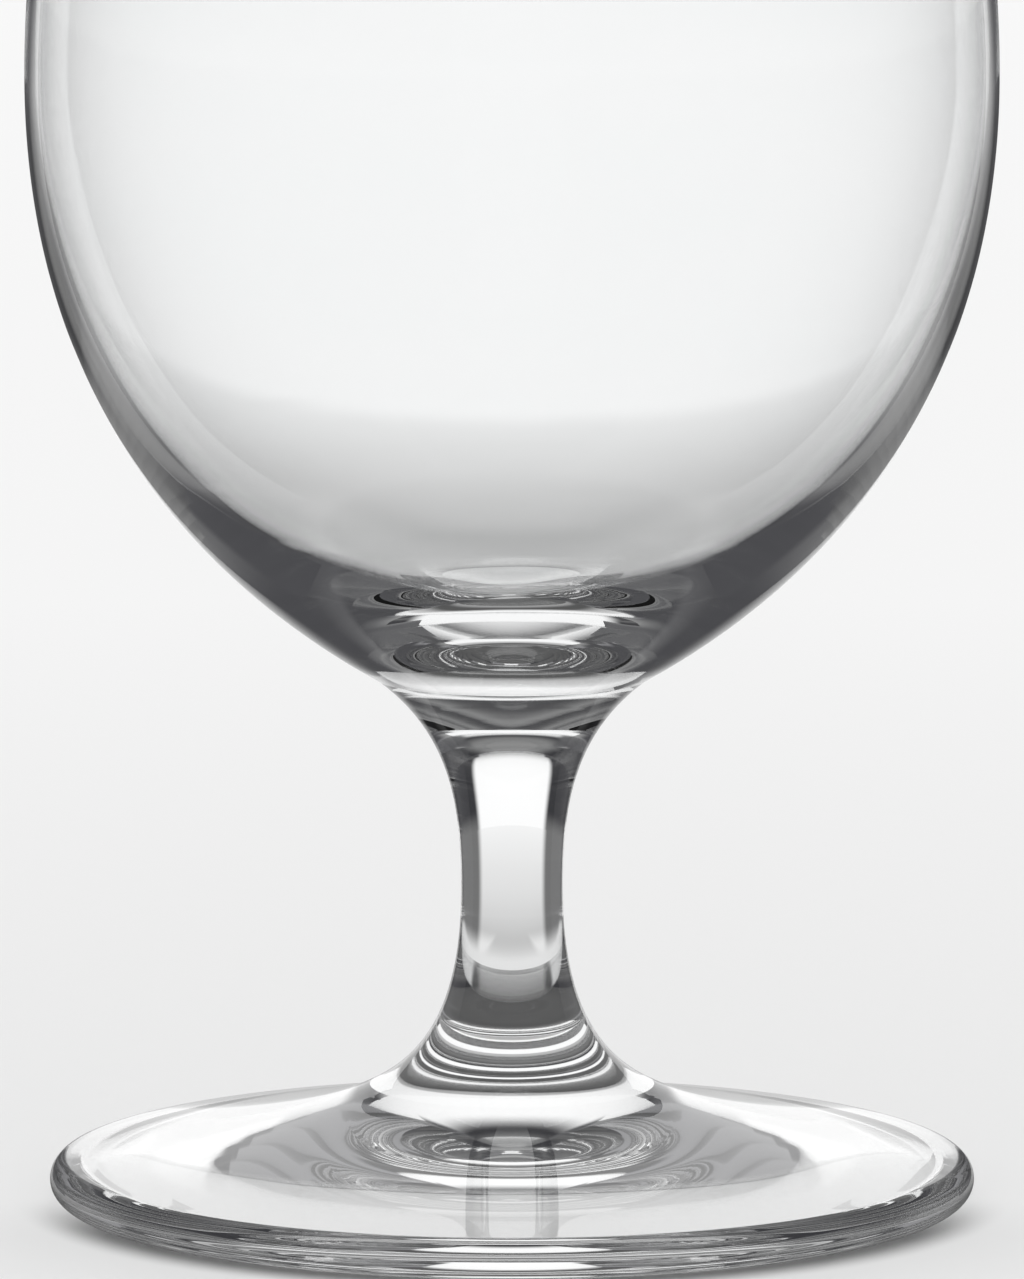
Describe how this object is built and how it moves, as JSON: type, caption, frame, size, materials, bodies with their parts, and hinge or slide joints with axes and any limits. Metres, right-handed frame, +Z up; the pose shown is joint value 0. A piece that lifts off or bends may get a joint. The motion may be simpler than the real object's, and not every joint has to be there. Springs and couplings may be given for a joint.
{
  "type": "red wine glass",
  "caption": "Clear stemmed red wine glass: round-bellied blown bowl with a thick base, short waisted stem and a round-edged foot, for holding and drinking wine.",
  "frame": {"origin": "on the table, under the middle of the foot", "axes": "+Z up along the glass's axis, from the foot to the rim; the glass is round, so X and Y are free"},
  "size_m": [0.0832, 0.0832, 0.1461],
  "materials": {
    "clear_glass": "fire-polished, clear and colourless"
  },
  "bodies": {
    "root": {"bowl": "clear_glass", "stem": "clear_glass", "foot": "clear_glass"}
  },
  "joints": []
}
